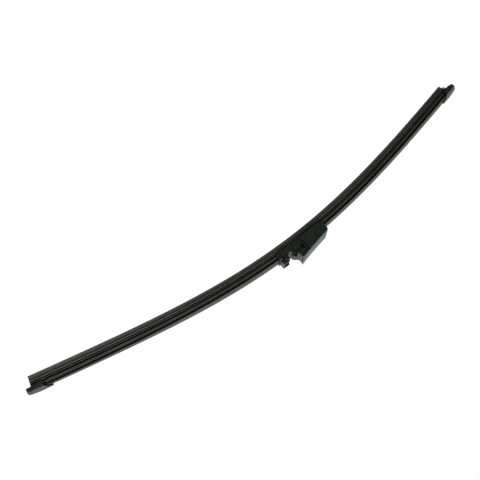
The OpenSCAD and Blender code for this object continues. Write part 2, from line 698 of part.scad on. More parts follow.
module connector_cover() color([0.1, 0.12, 0.11]) difference() {
  intersection() {
    roof_sweep(cover_w / 2, 0, cover_corner_r, cover_camber);
    side_extrude(2 * cover_w) cover_side_2d(0);
  }
  intersection() {
    roof_sweep(cover_w / 2 - cover_wall_t, cover_roof_t, cover_corner_r - cover_wall_t, cover_camber);
    side_extrude(2 * cover_w) cover_side_2d(cover_wall_t);
  }
  intersection() {
    roof_sweep(cover_w, cover_roof_t + cover_camber + play, 0.1, 0.01);
    side_extrude(2 * cover_w) translate([0, seat_z]) circle(r = side_edge_r, $fn = 180);
  }
  under_bow(cheek_z + play);
  side_extrude(2 * cover_w) cover_foot_2d();
  even_sweep(-bow_even_l - 3, -cover_strip_back_x + 1)
    translate([-skirt_w / 2 - cover_play, 0])
      square([skirt_w + 2 * cover_play, crest_z + cover_play]);
}

wiper_rubber();
spring_strip_front();
spring_strip_back();
cover_strip_left();
cover_strip_right();
end_cap_left();
end_cap_right();
connector_base();
pin_housing();
connector_cover();
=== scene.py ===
"""Dresses the flat rear wiper blade: extruded rubber, coated spring strips and moulded plastic, in one studio.

Every outline is given in millimetres above the rubber's lip edge, and is carried along the same bow and twist
as the part's solids. Meshes are made in metres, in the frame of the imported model.
"""

import logging
import math
from dataclasses import dataclass, field
from enum import Enum
from typing import Optional, Sequence

import bmesh
import bpy
import numpy as np
from mathutils import Matrix, Vector


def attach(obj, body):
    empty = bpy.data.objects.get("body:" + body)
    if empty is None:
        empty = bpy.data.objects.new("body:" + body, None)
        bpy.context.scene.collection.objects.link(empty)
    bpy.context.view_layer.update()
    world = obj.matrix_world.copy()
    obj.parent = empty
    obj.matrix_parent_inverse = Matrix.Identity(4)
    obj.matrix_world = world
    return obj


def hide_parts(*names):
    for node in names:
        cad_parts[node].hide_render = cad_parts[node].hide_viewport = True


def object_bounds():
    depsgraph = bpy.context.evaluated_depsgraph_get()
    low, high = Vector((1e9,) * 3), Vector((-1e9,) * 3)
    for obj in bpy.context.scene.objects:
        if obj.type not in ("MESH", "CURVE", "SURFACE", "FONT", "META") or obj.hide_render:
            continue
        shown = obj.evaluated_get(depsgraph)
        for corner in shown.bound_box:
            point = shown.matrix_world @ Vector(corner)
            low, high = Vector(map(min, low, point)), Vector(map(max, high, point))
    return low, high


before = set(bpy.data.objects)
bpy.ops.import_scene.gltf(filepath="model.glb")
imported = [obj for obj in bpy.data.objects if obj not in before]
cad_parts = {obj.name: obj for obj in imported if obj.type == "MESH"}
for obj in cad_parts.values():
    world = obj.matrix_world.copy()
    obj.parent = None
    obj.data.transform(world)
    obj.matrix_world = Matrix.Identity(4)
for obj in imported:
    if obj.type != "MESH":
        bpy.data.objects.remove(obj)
SOLID_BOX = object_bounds()

MM = 0.001
BODY = "root"
CORNER_SHARE = 0.42  # most of an edge that one rounded corner may take
SWEEP_SHARP_DEG = 50.0  # edges of a sweep that shade sharp
MOULD_SHARP_DEG = 28.0  # edges of a moulding that are rounded
FLAT_DEG = 0.4  # triangles within this angle are one face of a moulding
MERGE_M = 2e-6  # corners closer than this are one
MERGE_GRID = 2e6  # grid steps per metre on which a solid's corners are matched
SENSOR_MM = 36.0
WHITE = (1.0, 1.0, 1.0, 1.0)
log = logging.getLogger("wiper_blade")


class End(Enum):
    """The two ends of the blade, by the sign of their place along it."""

    LEFT = 1
    RIGHT = -1


class Side(Enum):
    """The two long sides of the blade, by the sign of their place across it."""

    FRONT = -1
    BACK = 1


@dataclass(frozen=True)
class Bow:
    """The bow and twist of the blade, as the part's source states them, in millimetres and degrees."""

    half_l: float = 200.25
    radius: float = 486.0
    even_l: float = 32.0
    fade: float = 1.29
    twist_plus: float = -12.4
    twist_minus: float = 4.7
    twist_end: float = 186.45
    neutral_z: float = 7.9
    seat_x: float = 1.35
    seat_z: float = 13.25
    steps: int = 24

    def turn(self, s: np.ndarray) -> np.ndarray:
        """Turn of the blade about Y, in radians.

        It grows evenly with s / radius near the middle. Beyond even_l its rate falls as (1 - u) ** fade, where u
        runs from 0 to 1 at the tip, so the turn is that rate's integral.

        Args:
            s: Places along the blade from its middle.

        Returns:
            The turn at each place, with the sign of s.
        """
        a = np.abs(s)
        span = self.half_l - self.even_l
        u = np.clip((a - self.even_l) / span, 0.0, 1.0)
        faded = self.even_l + span / (self.fade + 1) * (1 - (1 - u) ** (self.fade + 1))
        return np.sign(s) * np.where(a <= self.even_l, a, faded) / self.radius

    def foot(self, s: np.ndarray) -> tuple[np.ndarray, np.ndarray]:
        """Place of the spring strips' middle line, which starts level at the blade's middle.

        It is a circle's arc up to even_l, and from there the sum of equal steps, each along the turn at its middle.

        Args:
            s: Places along the blade from its middle.

        Returns:
            The distance along X and the rise along Z, each as an array like s.
        """
        a = np.abs(s)
        arc = self.turn(np.minimum(a, self.even_l))
        step = np.maximum(a - self.even_l, 0.0) / self.steps
        half_steps = np.arange(self.steps) + 0.5
        slope = self.turn(self.even_l + step[..., None] * half_steps)
        x = self.radius * np.sin(arc) + step * np.cos(slope).sum(axis=-1)
        z = self.radius * (np.cos(arc) - 1) - step * np.sin(slope).sum(axis=-1)
        return np.sign(s) * x, z

    def twist(self, s: np.ndarray) -> np.ndarray:
        """Twist about the blade's length, in radians: a smooth step u * u * (3 - 2 * u) up to each half's twist.

        Args:
            s: Places along the blade from its middle.

        Returns:
            The twist at each place.
        """
        u = np.clip((np.abs(s) - self.even_l) / (self.twist_end - self.even_l), 0.0, 1.0)
        whole = np.where(s > 0, self.twist_plus, self.twist_minus)
        return np.radians(whole) * u * u * (3 - 2 * u)

    def carry(self, s: np.ndarray, y: np.ndarray, w: np.ndarray) -> np.ndarray:
        """Carries points of the section along the blade.

        A point is first twisted about the spring strips' middle line, then turned with the bow, then moved to the
        line's place.

        Args:
            s: Places along the blade.
            y: Places across the blade, of a shape that broadcasts with s.
            w: Heights above the lip edge, of the same shape as y.

        Returns:
            Points in metres, with a last axis of three.
        """
        x0, z0 = self.foot(s)
        turn, twist = self.turn(s), self.twist(s)
        h = w - self.neutral_z
        across = y * np.cos(twist) - h * np.sin(twist)
        rise = y * np.sin(twist) + h * np.cos(twist)
        x = x0 + rise * np.sin(turn) - self.seat_x
        z = z0 + rise * np.cos(turn) + self.neutral_z - self.seat_z
        return np.stack(np.broadcast_arrays(x, across, z), axis=-1) * MM


BOW = Bow()


def both_sides(half: np.ndarray) -> np.ndarray:
    """Adds a half outline's mirror image, which makes a whole one that runs anticlockwise seen from +X."""
    return np.concatenate([half, half[::-1] * [-1, 1]])


def rounded(outline: np.ndarray, radius: float, steps: int = 3) -> np.ndarray:
    """Rounds each corner of a closed outline.

    A corner P is replaced by the curve (1 - t)^2 A + 2 t (1 - t) P + t^2 B, where A and B lie radius away along
    its two edges, and never past CORNER_SHARE of an edge.

    Args:
        outline: Corners in order, n by 2.
        radius: Reach of each rounding along the edges.
        steps: Pieces that each rounding is cut into.

    Returns:
        The rounded outline, n * (steps + 1) by 2.
    """
    back = np.roll(outline, 1, axis=0) - outline
    ahead = np.roll(outline, -1, axis=0) - outline
    back_l = np.linalg.norm(back, axis=1, keepdims=True)
    ahead_l = np.linalg.norm(ahead, axis=1, keepdims=True)
    start = outline + back / back_l * np.minimum(radius, CORNER_SHARE * back_l)
    stop = outline + ahead / ahead_l * np.minimum(radius, CORNER_SHARE * ahead_l)
    t = np.linspace(0.0, 1.0, steps + 1)[None, :, None]
    curve = (1 - t) ** 2 * start[:, None] + 2 * t * (1 - t) * outline[:, None] + t * t * stop[:, None]
    return curve.reshape(-1, 2)


def new_object(name: str, mesh: bpy.types.Mesh) -> bpy.types.Object:
    """Links a mesh into the scene as an object at the origin."""
    piece = bpy.data.objects.new(name, mesh)
    bpy.context.scene.collection.objects.link(piece)
    return piece


def swept(name: str, s: np.ndarray, outline: np.ndarray) -> bpy.types.Object:
    """Carries a closed outline along the blade as one closed surface of s and the outline's own length.

    Each point of the surface is Bow.carry of one place s and one point of the outline. The piece gets a UV map,
    in metres along the blade and round the outline, and each point's height above the lip edge in millimetres.

    Args:
        name: Name of the piece.
        s: Places of the rings along the blade, rising.
        outline: The section's outline, n by 2, in millimetres.

    Returns:
        The piece, closed at both ends by the outline.
    """
    rings, n = len(s), len(outline)
    points = BOW.carry(s[:, None], outline[None, :, 0], outline[None, :, 1]).reshape(-1, 3)
    i, j = np.meshgrid(np.arange(rings - 1), np.arange(n), indexing="ij")
    k = (j + 1) % n
    quads = np.stack([i * n + j, i * n + k, (i + 1) * n + k, (i + 1) * n + j], axis=-1).reshape(-1, 4)
    ends = [np.arange(n)[::-1].tolist(), ((rings - 1) * n + np.arange(n)).tolist()]
    mesh = bpy.data.meshes.new(name)
    mesh.from_pydata(points.tolist(), [], quads.tolist() + ends)
    around = np.concatenate([[0.0], np.cumsum(np.linalg.norm(np.roll(outline, -1, axis=0) - outline, axis=1))])
    u = np.stack([s[i], s[i], s[i + 1], s[i + 1]], axis=-1).reshape(-1)
    v = np.stack([around[j], around[j + 1], around[j + 1], around[j]], axis=-1).reshape(-1)
    flat = np.concatenate([outline[::-1], outline])
    uv = np.concatenate([np.stack([u, v], axis=-1), flat]) * MM
    mesh.uv_layers.new(name="surface").data.foreach_set("uv", uv.ravel())
    height = mesh.attributes.new("height", "FLOAT", "POINT")
    height.data.foreach_set("value", np.tile(outline[:, 1], rings).astype(np.float32))
    mesh.shade_smooth()
    mesh.set_sharp_from_angle(angle=math.radians(SWEEP_SHARP_DEG))
    mesh.validate()
    return new_object(name, mesh)


def moulded_copy(name: str, node: str, edge: float, clamped: bool = False) -> bpy.types.Object:
    """Copies a solid's mesh, merges its loose triangles into whole faces, and rounds its sharp edges.

    Args:
        name: Name of the piece.
        node: The solid that is copied.
        edge: Width of the rounding, in millimetres.
        clamped: Whether the rounding is held back where edges are short.

    Returns:
        The piece, with a live Bevel modifier.
    """
    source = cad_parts[node].data
    points = np.empty(len(source.vertices) * 3)
    source.vertices.foreach_get("co", points)
    source.calc_loop_triangles()
    corners = np.empty(len(source.loop_triangles) * 3, dtype=np.int64)
    source.loop_triangles.foreach_get("vertices", corners)
    grid = np.round(points.reshape(-1, 3) * MERGE_GRID).astype(np.int64)
    merged, place = np.unique(grid, axis=0, return_inverse=True)
    triangles = place.reshape(-1)[corners].reshape(-1, 3)
    whole = (triangles != np.roll(triangles, -1, axis=1)).all(axis=1)
    mesh = bpy.data.meshes.new(name)
    mesh.from_pydata((merged / MERGE_GRID).tolist(), [], triangles[whole].tolist())
    shape = bmesh.new()
    shape.from_mesh(mesh)
    bmesh.ops.remove_doubles(shape, verts=shape.verts, dist=MERGE_M)
    bmesh.ops.dissolve_limit(shape, angle_limit=math.radians(FLAT_DEG), verts=shape.verts, edges=shape.edges)
    shape.to_mesh(mesh)
    shape.free()
    mesh.shade_smooth()
    mesh.set_sharp_from_angle(angle=math.radians(MOULD_SHARP_DEG))
    piece = new_object(name, mesh)
    rounding = piece.modifiers.new("edge_rounding", "BEVEL")
    rounding.width = edge * MM
    rounding.segments = 2
    rounding.limit_method = "ANGLE"
    rounding.angle_limit = math.radians(MOULD_SHARP_DEG)
    rounding.use_clamp_overlap = clamped
    rounding.harden_normals = True
    return piece


class NodePad:
    """Adds and joins the nodes of one material or world."""

    def __init__(self, tree: bpy.types.NodeTree) -> None:
        """Starts on an empty tree."""
        self.tree = tree
        tree.nodes.clear()

    def add(self, kind: str, settings: Optional[dict] = None, **values: object) -> bpy.types.Node:
        """Adds a node.

        Args:
            kind: The node's type name without its ShaderNode prefix.
            settings: The node's own properties, by name.
            **values: Its input sockets, each a value or a socket to join. They go by name, with spaces as
                underscores, or by number after the letter i.

        Returns:
            The new node.
        """
        node = self.tree.nodes.new("ShaderNode" + kind)
        for key, value in (settings or {}).items():
            setattr(node, key, value)
        for key, value in values.items():
            numbered = key[0] == "i" and key[1:].isdigit()
            socket = node.inputs[int(key[1:]) if numbered else key.replace("_", " ")]
            if isinstance(value, bpy.types.NodeSocket):
                self.tree.links.new(value, socket)
            else:
                socket.default_value = value
        return node

    def noise(self, at: bpy.types.NodeSocket, scale: float, detail: float = 2.0) -> bpy.types.NodeSocket:
        """Noise of a scale per metre at the given coordinates, about 0.5."""
        return self.add("TexNoise", Vector=at, Scale=scale, Detail=detail, Roughness=0.5).outputs[0]

    def stretched(self, at: bpy.types.NodeSocket, scale: Sequence[float]) -> bpy.types.NodeSocket:
        """Coordinates multiplied by a scale along each axis."""
        return self.add("Mapping", Vector=at, Scale=scale).outputs["Vector"]

    def ranged(self, value: bpy.types.NodeSocket, low: float, high: float, to_low: float = 0.0,
               to_high: float = 1.0) -> bpy.types.NodeSocket:
        """Maps low..high smoothly to to_low..to_high, and holds the ends beyond."""
        step = {"interpolation_type": "SMOOTHSTEP"}
        return self.add("MapRange", step, i0=value, i1=low, i2=high, i3=to_low, i4=to_high).outputs[0]

    def maths(self, operation: str, a: object, b: object = 0.0) -> bpy.types.NodeSocket:
        """One sum on two values or sockets."""
        return self.add("Math", {"operation": operation}, i0=a, i1=b).outputs[0]

    def painted_gap_shade(self, reach_mm: float) -> bpy.types.NodeSocket:
        """Painted shade: 1 on open faces, falling to 0 in gaps and inner corners narrower than the reach."""
        occlusion = self.add("AmbientOcclusion", {"samples": 8}, Distance=reach_mm * MM).outputs["AO"]
        return self.ranged(occlusion, 0.4, 1.0)

    def edges(self, reach_mm: float) -> bpy.types.NodeSocket:
        """Painted highlight: 1 on outer edges, 0 on faces wider than the reach."""
        inside = self.add("AmbientOcclusion", {"samples": 8, "inside": True}, Distance=reach_mm * MM).outputs["AO"]
        return self.ranged(inside, 0.5, 0.98, 1.0, 0.0)

    def tinted(self, colour: bpy.types.NodeSocket, factor: bpy.types.NodeSocket) -> bpy.types.NodeSocket:
        """The colour multiplied by a factor."""
        return self.add("VectorMath", {"operation": "SCALE"}, i0=colour, Scale=factor).outputs["Vector"]

    def blended(self, factor: bpy.types.NodeSocket, a: Sequence[float], b: Sequence[float]) -> bpy.types.NodeSocket:
        """Blends two colours.

        Args:
            factor: How far to go from the first colour to the second.
            a: The colour at factor 0.
            b: The colour at factor 1.

        Returns:
            The colour between them.
        """
        ramp = self.add("ValToRGB", i0=factor)
        ramp.color_ramp.elements[0].color = (*a, 1.0)
        ramp.color_ramp.elements[1].color = (*b, 1.0)
        return ramp.outputs["Color"]

    def output(self, shader: bpy.types.NodeSocket, kind: str = "OutputMaterial") -> None:
        """Joins a shader to the output."""
        self.add(kind, Surface=shader)


def new_material(name: str) -> tuple[bpy.types.Material, NodePad]:
    """Makes a material of nodes, and the pad of its tree."""
    made = bpy.data.materials.new(name)
    made.use_nodes = True
    return made, NodePad(made.node_tree)


@dataclass(frozen=True)
class Finish:
    """A finish, whose material is made on first use."""

    name: str

    def shader(self, pad: NodePad) -> bpy.types.NodeSocket:
        """Makes the finish's nodes and returns the shader's output."""
        raise NotImplementedError

    def material(self) -> bpy.types.Material:
        """Finds or makes the material.

        Returns:
            The material, the same one for each piece that wears it.
        """
        made = bpy.data.materials.get(self.name)
        if made is None:
            made, pad = new_material(self.name)
            pad.output(self.shader(pad))
        return made


@dataclass(frozen=True)
class MouldedPlastic(Finish):
    """Black injection-moulded plastic: a fine spark-eroded grain, and soft clouds of gloss where the melt flowed.

    Its colour has painted shade in gaps narrower than its shade reach, and a painted highlight on outer edges.
    """

    colour: tuple[float, float, float] = (0.0042, 0.008, 0.0058)
    pale: tuple[float, float, float] = (0.008, 0.0135, 0.0103)
    roughness: float = 0.34
    roughness_spread: float = 0.1
    specular: float = 0.45
    grain_mm: float = 0.22
    grain_depth_mm: float = 0.02
    flow_per_m: float = 260.0
    # Reach of the painted shade in gaps; then reach and gain of the painted highlight on edges.
    shade_reach_mm: float = 1.6
    edge_mm: float = 0.35
    edge_gain: float = 1.5

    def shader(self, pad: NodePad) -> bpy.types.NodeSocket:
        """Makes the finish's nodes.

        Args:
            pad: The pad of the material's tree.

        Returns:
            The shader's output.
        """
        at = pad.add("TexCoord").outputs["Object"]
        flow = pad.noise(pad.stretched(at, (0.5, 1.0, 1.0)), self.flow_per_m, 3.0)
        speckle = pad.noise(at, 1.0 / (self.grain_mm * MM), 2.0)
        tone = pad.maths("ADD", pad.maths("MULTIPLY", flow, 0.6), pad.maths("MULTIPLY", speckle, 0.4))
        colour = pad.blended(pad.ranged(tone, 0.3, 0.7), self.colour, self.pale)
        # Painted shade in gaps and a painted highlight on outer edges, multiplied into the colour.
        shade_factor = pad.painted_gap_shade(self.shade_reach_mm)
        edge_highlight = pad.maths("ADD", pad.maths("MULTIPLY", pad.edges(self.edge_mm), self.edge_gain), 1.0)
        colour = pad.tinted(colour, pad.maths("MULTIPLY", shade_factor, edge_highlight))
        gloss = pad.ranged(flow, 0.3, 0.7, self.roughness, self.roughness + self.roughness_spread)
        relief = pad.add("Bump", Height=speckle, Distance=self.grain_depth_mm * MM, Strength=0.6).outputs["Normal"]
        shader = pad.add("BsdfPrincipled", Base_Color=colour, Roughness=gloss, Normal=relief,
                         Specular_IOR_Level=self.specular)
        return shader.outputs["BSDF"]


@dataclass(frozen=True)
class ExtrudedRubber(Finish):
    """Black rubber pulled through a die: fine lines along it, and a soft bloom in patches.

    A banded one is paler from the lip edge up to band_heights, partly from the lip's own coat and partly as painted
    light from below.
    Given pairs of a height above the lip edge in millimetres and the share of the colour that is left there, one is
    darkened by painted shade by height; each also has painted shade in gaps.
    """

    colour: tuple[float, float, float] = (0.041, 0.042, 0.0375)
    bloom: tuple[float, float, float] = (0.067, 0.068, 0.061)
    roughness: float = 0.5
    roughness_spread: float = 0.12
    specular: float = 0.15
    line_mm: float = 0.25
    line_depth_mm: float = 0.015
    lines_per_m: float = 12.0
    patches_per_m: float = 70.0
    specks_per_m: float = 3500.0
    # Paler lip band: partly the lip's own coat, partly painted light from below.
    band: tuple[float, float, float] = (0.092, 0.0915, 0.087)
    band_heights: tuple[float, float] = (4.4, 4.8)
    banded: bool = False
    shade_reach_mm: float = 1.2
    shade_by_height: tuple[tuple[float, float], ...] = ()

    def shader(self, pad: NodePad) -> bpy.types.NodeSocket:
        """Makes the finish's nodes.

        Args:
            pad: The pad of the material's tree.

        Returns:
            The shader's output.
        """
        along = pad.add("UVMap", {"uv_map": "surface"}).outputs["UV"]
        at = pad.add("TexCoord").outputs["Object"]
        lines = pad.noise(pad.stretched(along, (self.lines_per_m, 1.0 / (self.line_mm * MM), 1.0)), 1.0, 3.0)
        patches = pad.noise(at, self.patches_per_m, 3.0)
        fine = pad.noise(at, self.specks_per_m, 1.0)
        tone = pad.maths("ADD", pad.maths("MULTIPLY", lines, 0.45), pad.maths("MULTIPLY", patches, 0.55))
        colour = pad.blended(pad.ranged(tone, 0.35, 0.65), self.colour, self.bloom)
        if self.banded:
            height = pad.add("Attribute", {"attribute_name": "height"}).outputs["Fac"]
            # Share of the lip band, whose paleness is partly the lip's own coat and partly painted light from below.
            worn = pad.ranged(height, *self.band_heights, 1.0, 0.0)
            mix = pad.add("Mix", {"data_type": "RGBA"}, i0=worn, i6=colour, i7=(*self.band, 1.0))
            colour = mix.outputs[2]
        # Painted shade in gaps narrower than the reach, by ambient occlusion, multiplied into the colour.
        shade_factor = pad.painted_gap_shade(self.shade_reach_mm)
        # Painted shade by height, where height pairs are given.
        if self.shade_by_height:
            shade_factor = pad.maths("MULTIPLY", shade_factor, self.height_shade(pad))
        colour = pad.tinted(colour, shade_factor)
        gloss = pad.ranged(patches, 0.3, 0.7, self.roughness, self.roughness + self.roughness_spread)
        relief = pad.maths("ADD", lines, pad.maths("MULTIPLY", fine, 0.3))
        normal = pad.add("Bump", Height=relief, Distance=self.line_depth_mm * MM, Strength=0.7).outputs["Normal"]
        shader = pad.add("BsdfPrincipled", Base_Color=colour, Roughness=gloss, Normal=normal,
                         Specular_IOR_Level=self.specular)
        return shader.outputs["BSDF"]

    def height_shade(self, pad: NodePad) -> bpy.types.NodeSocket:
        """Reads the painted shade at each height: straight lines between the given pairs.

        Args:
            pad: The pad of the material's tree.

        Returns:
            The share of the colour that is left.
        """
        low, high = self.shade_by_height[0][0], self.shade_by_height[-1][0]
        height = pad.add("Attribute", {"attribute_name": "height"}).outputs["Fac"]
        along = pad.add("MapRange", i0=height, i1=low, i2=high, i3=0.0, i4=1.0).outputs[0]
        ramp = pad.add("ValToRGB", i0=along)
        stops = ramp.color_ramp.elements
        for place, value in self.shade_by_height[1:-1]:
            stops.new((place - low) / (high - low)).color = (value, value, value, 1.0)
        stops[0].color = (*([self.shade_by_height[0][1]] * 3), 1.0)
        stops[len(stops) - 1].color = (*([self.shade_by_height[-1][1]] * 3), 1.0)
        return pad.add("SeparateColor", i0=ramp.outputs["Color"]).outputs["Red"]


@dataclass(frozen=True)
class CoatedSteel(Finish):
    """Rolled spring steel under a thin dark coat: the rolling lines run along the strip."""

    colour: tuple[float, float, float] = (0.012, 0.012, 0.013)
    worn: tuple[float, float, float] = (0.03, 0.03, 0.032)
    roughness: float = 0.42
    roughness_spread: float = 0.15
    specular: float = 0.2
    line_depth_mm: float = 0.004

    def shader(self, pad: NodePad) -> bpy.types.NodeSocket:
        """Makes the finish's nodes.

        Args:
            pad: The pad of the material's tree.

        Returns:
            The shader's output.
        """
        along = pad.add("UVMap", {"uv_map": "surface"}).outputs["UV"]
        lines = pad.noise(pad.stretched(along, (25.0, 9000.0, 1.0)), 1.0, 3.0)
        spots = pad.noise(pad.add("TexCoord").outputs["Object"], 500.0, 4.0)
        colour = pad.blended(pad.ranged(spots, 0.45, 0.75), self.colour, self.worn)
        gloss = pad.ranged(lines, 0.3, 0.7, self.roughness, self.roughness + self.roughness_spread)
        normal = pad.add("Bump", Height=lines, Distance=self.line_depth_mm * MM, Strength=0.6).outputs["Normal"]
        shader = pad.add("BsdfPrincipled", Base_Color=colour, Roughness=gloss, Normal=normal,
                         Specular_IOR_Level=self.specular)
        return shader.outputs["BSDF"]


def dress(piece: bpy.types.Object, finish: Finish, slot: str, *nodes: str) -> bpy.types.Object:
    """Gives a piece its finish and its place on the body, and lets it stand for its solids.

    Args:
        piece: The finished piece.
        finish: The finish that it wears.
        slot: The record's material slot. Not used.
        *nodes: The solids that the piece stands for.

    Returns:
        The same piece.
    """
    material = finish.material()
    for thing in [piece] + [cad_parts[node] for node in nodes]:
        thing.data.materials.clear()
        thing.data.materials.append(material)
    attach(piece, BODY)
    if nodes:
        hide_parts(*nodes)
    log.info("%s: %d faces, stands for %s", piece.name, len(piece.data.polygons), ", ".join(nodes) or "nothing")
    return piece


@dataclass(frozen=True)
class Heights:
    """Heights of the blade's section above the lip edge, each a sum of the parts below it, in millimetres."""

    lip: float = 3.65
    shoulder: float = 0.95
    hinge: float = 0.7
    flange: float = 0.8
    web: float = 1.35
    play: float = 0.1
    spring: float = 0.7
    head: float = 0.5
    hook: float = 0.6
    groove_floor: float = 0.65
    groove: float = 1.35
    roof_edge: float = 0.4
    roof_rise: float = 0.6

    @property
    def hinge_z(self) -> float:
        """Lower side of the hinge."""
        return self.lip + self.shoulder

    @property
    def flange_z(self) -> float:
        """Lower side of the flange."""
        return self.hinge_z + self.hinge

    @property
    def web_z(self) -> float:
        """Lower side of the web."""
        return self.flange_z + self.flange

    @property
    def slot_z(self) -> float:
        """Lower side of the slots that hold the spring strips."""
        return self.web_z + self.web

    @property
    def head_z(self) -> float:
        """Lower side of the rubber's head."""
        return self.slot_z + 2 * self.play + self.spring

    @property
    def head_top(self) -> float:
        """Top of the rubber's head."""
        return self.head_z + self.head

    @property
    def groove_z(self) -> float:
        """Lower side of the cover strips' side grooves."""
        return self.head_z + self.groove_floor

    @property
    def roof_z(self) -> float:
        """Lower side of the cover strips' roof."""
        return self.groove_z + self.groove

    @property
    def crest_z(self) -> float:
        """Crest of the cover strips' roof."""
        return self.roof_z + self.roof_edge + self.roof_rise


HEIGHTS = Heights()


@dataclass
class WipingRubber:
    """The wiping rubber: lip, shoulder, hinge, flange, web, spine and head in one extrusion."""

    lip_edge_t: float = 0.7
    lip_root_t: float = 1.2
    shoulder_w: float = 5.4
    hinge_w: float = 1.0
    flange_w: float = 6.6
    web_w: float = 3.2
    spine_w: float = 2.0
    head_w: float = 4.0
    inset: float = 4.25
    shift: float = 0.95
    rounding: float = 0.3
    rings: int = 221
    # The banded rubber's paler lip is partly its own coat and partly painted light from below.
    finish: ExtrudedRubber = field(default_factory=lambda: ExtrudedRubber("wiping_rubber_black", banded=True))

    def half_outline(self) -> np.ndarray:
        """Lists half of the section, climbing the +Y side from the lip edge to the head.

        Returns:
            Its corners, n by 2, in millimetres.
        """
        h = HEIGHTS
        return np.array([
            [self.lip_edge_t / 2, 0.0], [self.lip_root_t / 2, h.lip], [self.shoulder_w / 2, h.lip],
            [self.shoulder_w / 2, h.hinge_z], [self.hinge_w / 2, h.hinge_z], [self.hinge_w / 2, h.flange_z],
            [self.flange_w / 2, h.flange_z], [self.flange_w / 2, h.web_z], [self.web_w / 2, h.web_z],
            [self.web_w / 2, h.slot_z], [self.spine_w / 2, h.slot_z], [self.spine_w / 2, h.head_z],
            [self.head_w / 2, h.head_z], [self.head_w / 2, h.head_top],
        ])

    def build(self) -> bpy.types.Object:
        """Sweeps the rounded section from end to end, and dresses it.

        Returns:
            The dressed rubber.
        """
        end = BOW.half_l - self.inset
        outline = rounded(both_sides(self.half_outline()), self.rounding)
        piece = swept("wiping_rubber", np.linspace(-end, end, self.rings) + self.shift, outline)
        return dress(piece, self.finish, "wiping_rubber", "wiper_rubber")


@dataclass
class SpringStrips:
    """The two flat spring strips in the side slots of the rubber."""

    gap: float = 1.1
    width: float = 2.9
    inset: float = 5.2
    rounding: float = 0.2
    rings: int = 201
    finish: CoatedSteel = CoatedSteel("spring_steel_coated")

    def build(self, side: Side) -> bpy.types.Object:
        """Sweeps one strip with its rolled edges, and dresses it.

        Args:
            side: The side of the rubber that it lies in.

        Returns:
            The dressed strip.
        """
        near, far = sorted((side.value * self.gap, side.value * (self.gap + self.width)))
        low = HEIGHTS.slot_z + HEIGHTS.play
        high = low + HEIGHTS.spring
        corners = np.array([[near, low], [far, low], [far, high], [near, high]])
        end = BOW.half_l - self.inset
        name = side.name.lower()
        piece = swept(f"spring_{name}", np.linspace(-end, end, self.rings), rounded(corners, self.rounding))
        return dress(piece, self.finish, "spring_steel", f"spring_strip_{name}")


@dataclass
class CoverStrips:
    """The two rubber strips that cover the springs: hooked skirts, a side groove, and a low roof."""

    hook_gap: float = 4.2
    skirt_w: float = 9.4
    chamfer_w: float = 0.7
    chamfer_h: float = 0.85
    skirt_break: float = 0.22
    groove_core_w: float = 5.8
    roof_w: float = 8.3
    head_half_w: float = 2.1
    pocket_half_w: float = 4.1
    start: float = 10.25
    back: float = 26.45
    end: float = 186.45
    rounding: float = 0.16
    rings: int = 91
    # Painted shade by height: dark on the skirt's lower chamfer, darkest in the side groove, a little dark at the
    # roof's edge.
    finish: ExtrudedRubber = field(default_factory=lambda: ExtrudedRubber(
        "cover_strip_rubber_black", colour=(0.032, 0.0335, 0.03), bloom=(0.049, 0.0515, 0.046), roughness=0.45,
        shade_by_height=((6.8, 0.2), (7.25, 0.45), (7.6, 1.0), (8.7, 1.0), (8.95, 0.12), (10.33, 0.1), (10.4, 0.6),
                (10.7, 0.85))))

    def outline(self) -> np.ndarray:
        """Lists the whole section: up the outside, over the roof, down, and back round the inside.

        Returns:
            Its corners, n by 2, in millimetres.
        """
        h = HEIGHTS
        hook, roof = h.slot_z - h.hook, h.roof_z + h.roof_edge
        side = self.skirt_w / 2
        outer = np.array([
            [self.hook_gap / 2, hook], [side - self.chamfer_w, hook],
            [side - 0.28 * self.chamfer_w, hook + 0.4 * self.chamfer_h], [side, hook + self.chamfer_h],
            [side, h.groove_z - self.skirt_break], [side - self.skirt_break, h.groove_z],
            [self.groove_core_w / 2, h.groove_z], [self.groove_core_w / 2, h.roof_z],
            [self.roof_w / 2 - 0.1, h.roof_z + 0.05], [self.roof_w / 2, roof],
            [self.roof_w / 4, roof + 0.68 * h.roof_rise], [self.roof_w / 12, h.crest_z],
        ])
        inner = np.array([
            [self.head_half_w, h.head_top + h.play], [self.head_half_w, h.head_z], [self.pocket_half_w, h.head_z],
            [self.pocket_half_w, h.slot_z], [self.hook_gap / 2, h.slot_z],
        ])
        return np.concatenate([both_sides(outer), inner[::-1] * [-1, 1], inner])

    def build(self, end: End) -> bpy.types.Object:
        """Sweeps one strip from the connector to its end cap, and dresses it.

        Args:
            end: The end of the blade that it covers.

        Returns:
            The dressed strip.
        """
        low, high = (self.start, self.end) if end is End.LEFT else (-self.end, -self.back)
        name = end.name.lower()
        piece = swept(f"cover_{name}", np.linspace(low, high, self.rings), rounded(self.outline(), self.rounding))
        return dress(piece, self.finish, "cover_strip_rubber", f"cover_strip_{name}")


@dataclass
class EndCap:
    """An end cap: body with grip plates, shallow tip, and a tongue over the cover strip."""

    edge: float = 0.22
    finish: MouldedPlastic = MouldedPlastic("end_cap_plastic_black", colour=(0.0085, 0.0085, 0.0084),
                                            pale=(0.016, 0.016, 0.0158), specular=0.5, roughness=0.2,
                                            roughness_spread=0.06, shade_reach_mm=2.4, grain_depth_mm=0.005)

    def build(self, end: End) -> bpy.types.Object:
        """Copies and rounds one cap, and dresses it.

        Args:
            end: The end of the blade that it closes.

        Returns:
            The dressed cap.
        """
        name = end.name.lower()
        piece = moulded_copy(f"cap_{name}", f"end_cap_{name}", self.edge)
        return dress(piece, self.finish, "end_cap_plastic", f"end_cap_{name}")


